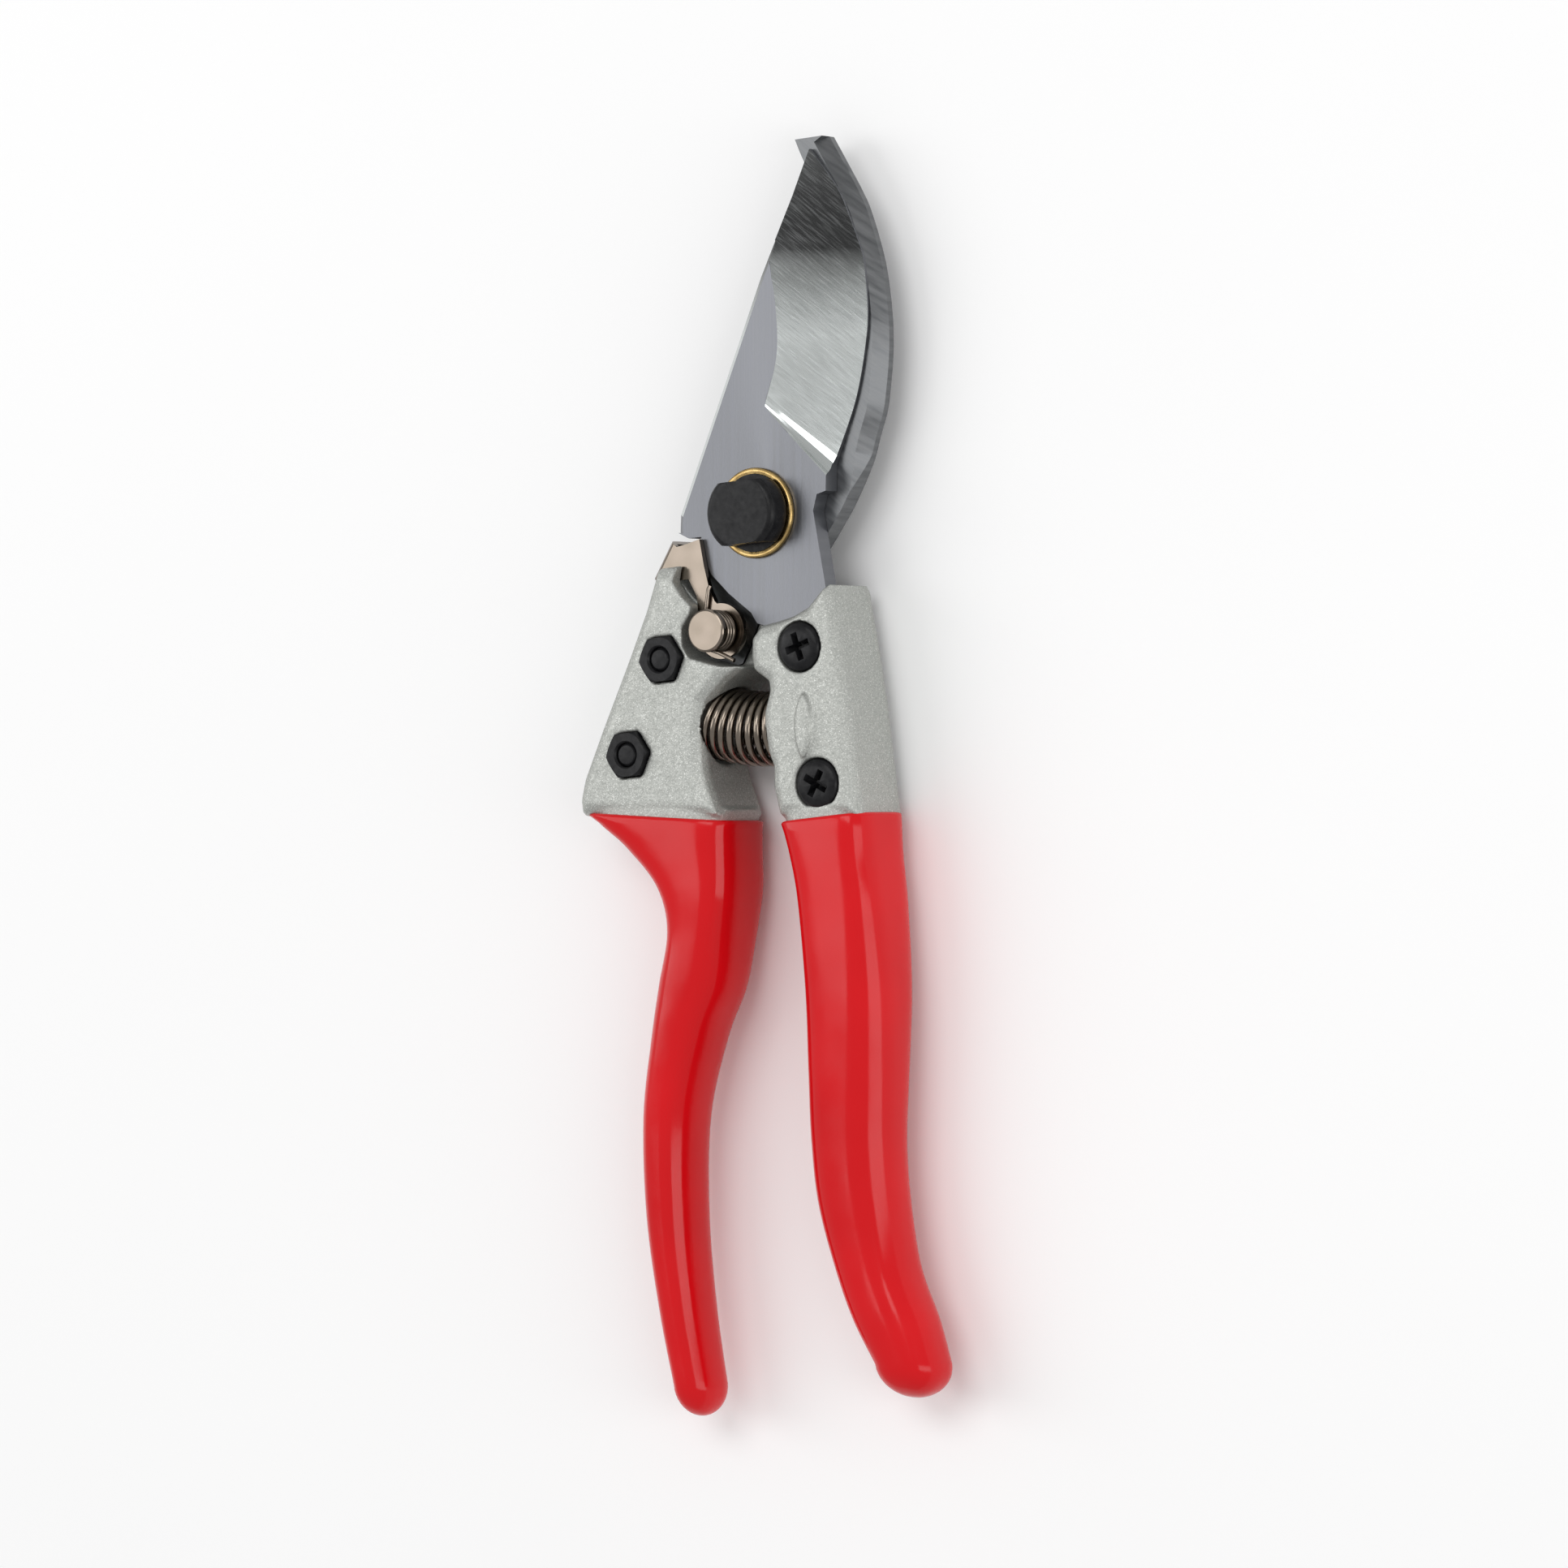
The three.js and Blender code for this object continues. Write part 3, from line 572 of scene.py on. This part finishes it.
def grip(name, rows, end, slope):
    lip_row = row_at(rows, LIP_Y)
    lip = ((1.6, -0.6), (1.6, -0.1), (0.75, 0.1), (0.35, 0.05), (0.1, -0.1), (0, -0.4))
    rings = [grip_ring(lip_row, inset, LIP_Y + rise, slope) for inset, rise in lip]
    samples = spline(rows, 8)
    rings += [grip_ring(row, 0, None, slope * max(0, 1 - (LIP_Y - row[0]) / 6))
              for row in samples if row[0] < LIP_Y - 1.0]
    last = rows[-1]
    steps = 10
    for k in range(1, steps + 1):
        turn = math.pi / 2 * k / steps
        along, shrink = math.sin(turn), max(math.cos(turn), 0.02)
        centre = (last[1] + last[2]) / 2 * (1 - along) + end[0] * along
        half = (last[2] - last[1]) / 2 * shrink
        y = last[0] + (end[1] - last[0]) * along
        rings.append(grip_ring((y, centre - half, centre + half, last[3] * shrink, last[4])))
    return smooth(loft(name, rings), 60)


# ---- Pivot ---------------------------------------------------------------------------------------


def pivot():
    top = span("pivot_bolt")[1].z - CONTACT
    foot = span("pivot_bolt")[0].z - CONTACT
    under = span("pivot_ring")[1].z - CONTACT + 0.05
    bolt = turned("bolt", (0, 0), [(0, foot), (3.5, foot), (4, foot + 0.5), (4, under), (6.2, under),
                                   (6.5, under + 0.3), (6.5, top - 0.9), (6.35, top - 0.45),
                                   (5.95, top - 0.12), (5.4, top), (0, top)])
    flats = []
    for side in (1, -1):
        box = plate("flat", [(-10, 5), (10, 5), (10, 12), (-10, 12)], under + 0.05, top + 3)
        box.data.transform(Matrix.Rotation(math.radians(4.5) + (0 if side > 0 else math.pi), 4, "Z"))
        flats.append(box)
    combine(bolt, flats)
    soften(bolt, 0.35, 35, 3)
    place(bolt, HOOK_SIDE, "black_steel", ["pivot_bolt"], BLACK)

    low, high = (value.z - CONTACT for value in span("pivot_ring"))
    ring = turned("brass_ring", (0, 0), [(4.15, low), (7.1, low), (7.25, low + 0.12), (7.25, high - 0.3),
                                         (7.1, high - 0.08), (6.8, high), (6.55, high - 0.1),
                                         (4.15, high - 0.1), (4.15, low)])
    place(smooth(ring, 50), HOOK_SIDE, "brass", ["pivot_ring"], BRASS)

    low, high = (value.z - CONTACT for value in span("pivot_washer"))
    washer = turned("back_washer", (0, 0), [(4.1, low), (8, low), (8, high), (4.1, high), (4.1, low)])
    place(soften(washer, 0.12), HOOK_SIDE, "black_steel", ["pivot_washer"], BLACK)

    low, high = (value.z - CONTACT for value in span("pivot_nut"))
    nut = plate("pivot_hex", hexagon((0, 0), 13, 0.3), low, high)
    dome = turned("dome", (0, 0), [(0, low - 0.01), (6.1, low - 0.01), (7.8, low + 1.0), (7.8, high + 1),
                                   (0, high + 1)])
    combine(nut, [dome], "INTERSECT")
    combine(nut, [rod("bore", (0, 0), BORE_R, -20, 0)])
    place(soften(nut, 0.1), HOOK_SIDE, "black_steel", ["pivot_nut"], BLACK)


# ---- Screws and nuts -----------------------------------------------------------------------------


def flip(obj, centre, on):
    """Turns a piece over about the line through its centre, to the tool's other face."""
    if on:
        pivot_point = Vector((centre.x, centre.y, CONTACT)) * MM
        turn = Matrix.Rotation(math.pi, 4, "Y")
        obj.data.transform(Matrix.Translation(pivot_point) @ turn @ Matrix.Translation(-pivot_point))
    return obj


def cross_recess(centre, turn, top):
    """A tapered four-way recess."""
    arms = []
    for quarter in (0, 1):
        angle = turn + quarter * math.pi / 2
        along = Vector((math.cos(angle), math.sin(angle)))
        across = Vector((-along.y, along.x))
        rings = []
        for z, half, width in ((top - 2.0, 1.0, 0.3), (top - 0.7, 2.0, 0.5), (top + 0.5, 2.5, 0.62)):
            corners = [along * half * a + across * width * b
                       for a, b in ((-1, -1), (1, -1), (1, 1), (-1, 1))]
            rings.append([(centre.x + c.x, centre.y + c.y, z) for c in corners])
        arms.append(loft("arm", rings))
    return arms


def screw(node, body, turn, back):
    centre = middle(node).to_2d()
    low, high = (value.z - CONTACT for value in span(node))
    foot, top = (-high, -low) if back else (low, high)
    piece = turned(node + "_turned", centre, [
        (0, foot), (1.5, foot), (1.85, foot + 0.3), (1.95, foot + 0.7), (1.95, top - 2.3),
        (3.75, top - 2.3), (3.9, top - 2.15), (3.9, top - 0.8), (3.75, top - 0.45), (3.3, top - 0.2),
        (2.4, top - 0.05), (0, top)])
    combine(piece, cross_recess(centre, turn, top))
    soften(piece, 0.07, 40)
    place(flip(piece, centre, back), body, "black_steel", [node], BLACK)


def nut(node, body, turn, front):
    centre = middle(node).to_2d()
    low, high = (value.z - CONTACT for value in span(node))
    foot, top = (low, high) if front else (-high, -low)
    piece = plate(node + "_hex", hexagon(centre, 7.0, turn), foot, top)
    dome = turned("dome", centre, [(0, foot - 1), (5, foot - 1), (5, top - 0.75), (3.45, top + 0.05),
                                   (0, top + 0.05)])
    combine(piece, [dome], "INTERSECT")
    funnel = turned("funnel", centre, [(0, foot - 1), (2.0, foot - 1), (2.0, top - 0.35),
                                       (2.35, top + 0.1), (2.35, top + 1), (0, top + 1)])
    combine(piece, [funnel])
    soften(piece, 0.08, 25)
    place(flip(piece, centre, not front), body, "black_steel", [node], BLACK)


def fasteners():
    turns = {"left": (0.5, 1.5), "right": (0.35, 1.1)}
    for side, body in (("left", HOOK_SIDE), ("right", BLADE_SIDE)):
        for i in (0, 1):
            screw(f"{side}_screw_{i + 1}", body, turns[side][i], back=side == "left")
            nut(f"{side}_nut_{i + 1}", body, 0.1 if side == "left" else 0.2, front=side == "left")


# ---- Thumb catch ---------------------------------------------------------------------------------
CHEEK = [(-12.5, -10.4), (-10.9, -13.2), (-10.4, -17), (-6.4, -18), (-6.4, -14.9), (-7.4, -14),
         (-8.5, -11.9), (-9, -10.1), (-9.5, -8.3), (-10, -5.9), (-10.4, -4), (-12.7, -4.7),
         (-14.8, -5.2)]
FOLD_TOP, FOLD_BOTTOM = Vector((-16.4, -4.2)), Vector((-19.8, -10))
SHEET, EYE_R = 1.0, 4.45


def channel(low, high):
    """The folded sheet: two cheeks and the rounded fold between them."""
    radius = 1.6
    inward = Vector((3.4, -2.0)).normalized()
    rings = []
    steps = 6
    profile = []
    for k in range(steps + 1):
        turn = math.pi / 2 * k / steps
        profile.append((radius * (1 - math.sin(turn)), low + radius * (1 - math.cos(turn))))
    profile += [(r, low + high - z) for r, z in reversed(profile)]
    inner = [(max(r, SHEET), z) for r, z in reversed(profile)]
    for base in (FOLD_BOTTOM, FOLD_TOP):
        outer_ring = [(*(base + inward * r), z) for r, z in profile]
        inner_ring = [(*(base + inward * r), min(max(z, low + SHEET), high - SHEET)) for r, z in inner]
        rings.append(outer_ring + inner_ring)
    return loft("fold", rings)


def thumb_catch():
    low, high = (value.z - CONTACT for value in span("thumb_catch"))
    outline = [(-18.3, -10.9)] + CHEEK + [(-15.2, -4.9)]
    outline = [Vector(p) for p in outline]
    piece = plate("catch_plate", outline, high - SHEET, high)
    back = plate("catch_back", outline, low, low + SHEET)
    eyes = [rod("eye", CATCH_PIN, EYE_R, z, z + SHEET) for z in (high - SHEET, low)]
    combine(piece, [back, *eyes, channel(low, high)], "UNION")
    combine(piece, [rod("bore", CATCH_PIN, CATCH_PIN_R + 0.06, low - 1, high + 1)])
    soften(piece, 0.18, 35, 3)
    place(piece, CATCH, "nickel_plate", ["thumb_catch"], NICKEL)


def catch_pin():
    top = span("catch_pin")[1].z - CONTACT
    foot = span("catch_pin")[0].z - CONTACT
    pin = turned("pin", CATCH_PIN, [(0, foot), (1.6, foot), (2.2, foot + 0.25), (2.45, foot + 0.6),
                                    (2.45, top - 1.1), (3.3, top - 1.1), (3.45, top - 0.95),
                                    (3.45, top - 0.3), (3.3, top - 0.08), (3.1, top), (0, top)])
    place(smooth(pin, 20), HOOK_SIDE, "nickel_plate", ["catch_pin"], NICKEL)


def catch_spring():
    radius, wire_r, pitch, turns = 3.01, 0.36, 0.76, 3.25
    low = span("thumb_catch")[1].z - CONTACT + wire_r + 0.05
    points = [(-8.1, -11.6, low - 0.2), (-8.3, -12.1, low), (-8.7, -15, low), (-9.1, -17.4, low)]
    steps = int(turns * 36)
    for i in range(steps + 1):
        angle = math.pi + 2 * math.pi * turns * i / steps
        points.append((CATCH_PIN.x + radius * math.cos(angle), CATCH_PIN.y + radius * math.sin(angle),
                       low + pitch * turns * i / steps))
    last = points[-1][2]
    points += [(-4.6, -22.3, last), (-1.6, -23.6, last)]
    coil = wire("catch_coil", points, wire_r)
    smooth(coil, 60)
    coil.data.materials.append(NICKEL)
    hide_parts("catch_spring")
    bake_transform(coil)


# ---- Main spring ---------------------------------------------------------------------------------


def main_spring():
    arc, coil_r, wire_r, turns = 34.5, 5.5, 0.6, 9
    start, end = math.radians(-15.5) + wire_r / arc, math.radians(10.5) - wire_r / arc
    steps = turns * 32
    points = []
    for i in range(steps + 1):
        t = i / steps
        along = start + (end - start) * (t - 0.045 * math.sin(2 * math.pi * t) / math.pi)
        reach = arc + coil_r * math.cos(2 * math.pi * turns * t)
        points.append((reach * math.sin(along), -reach * math.cos(along),
                       coil_r * math.sin(2 * math.pi * turns * t)))
    coil = smooth(wire("main_coil", points, wire_r), 60)
    coil.data.materials.append(NICKEL)
    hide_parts("main_spring")
    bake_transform(coil)


# ---- Camera, floor and light ---------------------------------------------------------------------
TURN = math.radians(34)               # how far the camera stands round to the tool's right
DISTANCE = 1.2
VIEW_WIDTH = 0.2512                   # what the square frame covers at the tool


def camera():
    right = Vector((math.cos(TURN), 0, -math.sin(TURN)))
    back = Vector((math.sin(TURN), 0, math.cos(TURN)))
    up = Vector((0, 1, 0))
    target = Vector((0, 0, CONTACT * MM)) + right * 0.0025 + up * -0.0433
    data = bpy.data.cameras.new("camera")
    data.sensor_width = 36
    data.lens = 36 * DISTANCE / VIEW_WIDTH
    obj = bpy.data.objects.new("camera", data)
    bpy.context.scene.collection.objects.link(obj)
    axes = Matrix((right, up, back)).transposed().to_4x4()
    obj.matrix_world = Matrix.Translation(target + back * DISTANCE) @ axes
    bpy.context.scene.camera = obj


def floor():
    ground = make("floor", [(-3000, -3000, 0), (3000, -3000, 0), (3000, 3000, 0), (-3000, 3000, 0)],
                  [(0, 1, 2, 3)])
    paper = Finish("floor_paper", (0.96, 0.96, 0.96), 0.8)
    paper.colour(paper.noise(6, 2), (0.955, 0.955, 0.955), (0.965, 0.965, 0.965))
    ground.data.materials.append(paper.material)


def area_light(name, place_at, size, power, aim=(0, -0.045, 0)):
    data = bpy.data.lights.new(name, "AREA")
    data.shape = "RECTANGLE"
    data.size, data.size_y = size
    data.energy = power
    obj = bpy.data.objects.new(name, data)
    bpy.context.scene.collection.objects.link(obj)
    obj.location = place_at
    obj.rotation_euler = (Vector(aim) - Vector(place_at)).to_track_quat("-Z", "Y").to_euler()


def lights():
    world = bpy.data.worlds.new("studio")
    bpy.context.scene.world = world
    world.use_nodes = True
    world.node_tree.nodes["Background"].inputs["Color"].default_value = (1, 1, 1, 1)
    world.node_tree.nodes["Background"].inputs["Strength"].default_value = 0.5
    area_light("left_box", (-0.9, 0.1, 0.9), (0.5, 1.2), 3.6)
    area_light("right_box", (0.95, -0.1, 0.35), (0.35, 1.2), 3.0)
    area_light("top_box", (0.1, 0.5, 1.3), (0.9, 0.5), 4.2)


cutting_blade()
hook_blade()
castings()
left_dip = grip("left_dip", LEFT_GRIP, LEFT_END, LEFT_SLOPE)
place(left_dip, HOOK_SIDE, "red_vinyl", ["left_grip"], RED)
right_dip = grip("right_dip", RIGHT_GRIP, RIGHT_END, RIGHT_SLOPE)
place(right_dip, BLADE_SIDE, "red_vinyl", ["right_grip"], RED)
pivot()
fasteners()
thumb_catch()
catch_pin()
catch_spring()
main_spring()
camera()
floor()
lights()
bpy.context.scene.view_settings.view_transform = "Standard"
bpy.context.scene.view_settings.exposure = 0.17
